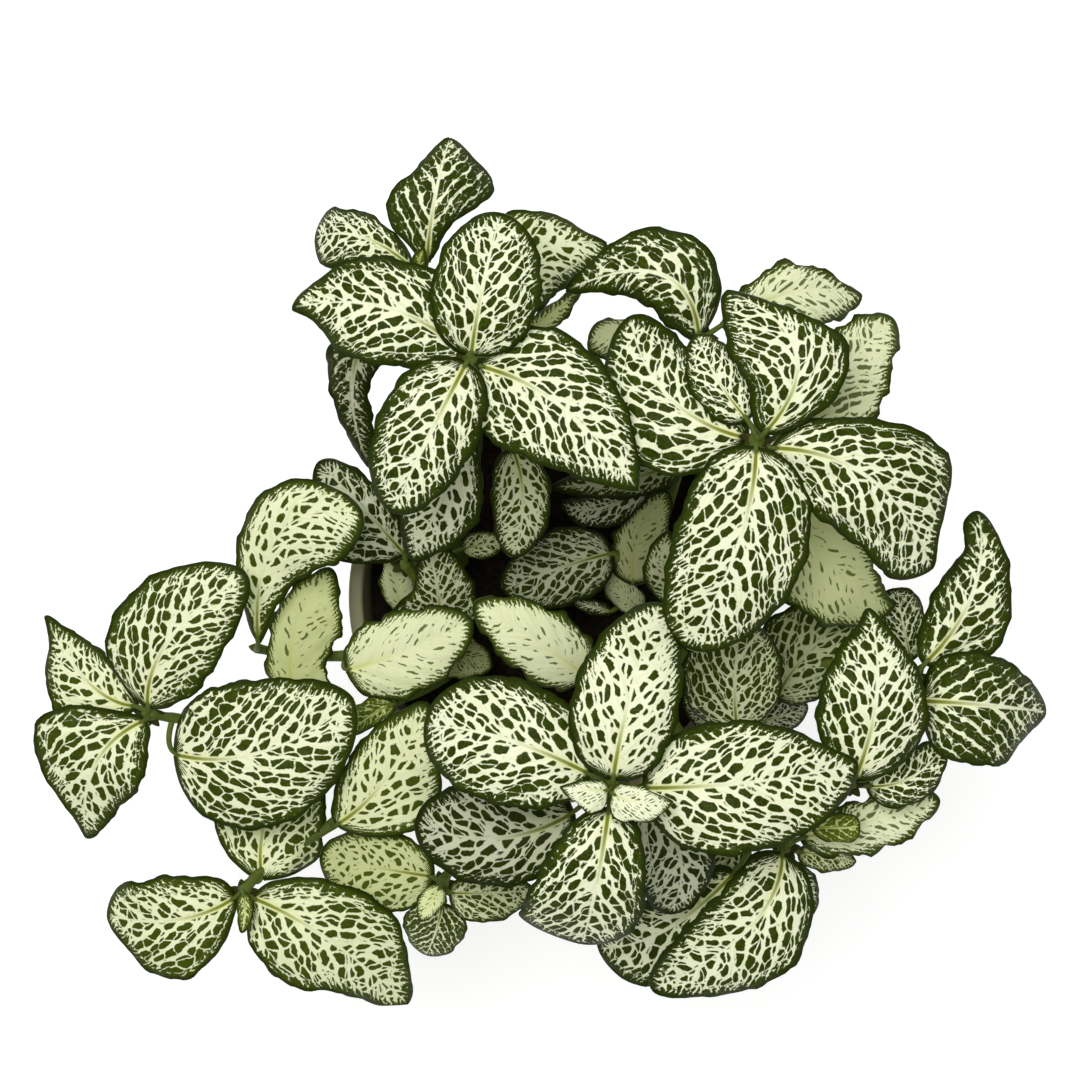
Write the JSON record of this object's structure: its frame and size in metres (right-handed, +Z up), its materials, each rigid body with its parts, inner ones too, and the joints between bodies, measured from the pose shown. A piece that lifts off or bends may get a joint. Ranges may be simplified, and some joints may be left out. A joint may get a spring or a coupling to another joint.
{
  "type": "potted nerve plant",
  "caption": "Spreading houseplant with oval dark green leaves netted in cream veins, on curved stems in a plain round tapered nursery pot.",
  "frame": {"origin": "middle of the pot's flat underside, on the pot's axis", "axes": "+Z up along the pot's axis; the picture looks straight down -Z with +Y at its top and +X at its right"},
  "size_m": [0.2849, 0.242, 0.2003],
  "materials": {
    "pot": "matte",
    "soil": "damp peat",
    "foliage": "satin leaf"
  },
  "bodies": {
    "root": {"pot": "pot", "soil": "soil", "stem_top_left": "foliage", "stem_far_top": "foliage", "stem_top_right": "foliage", "stem_far_right": "foliage", "stem_front": "foliage", "stem_front_right": "foliage", "stem_right_low": "foliage", "stem_right": "foliage", "stem_far_left": "foliage", "stem_front_left": "foliage", "stem_front_mid": "foliage", "stem_left": "foliage", "stem_mid_left": "foliage", "stem_middle": "foliage"}
  },
  "joints": []
}
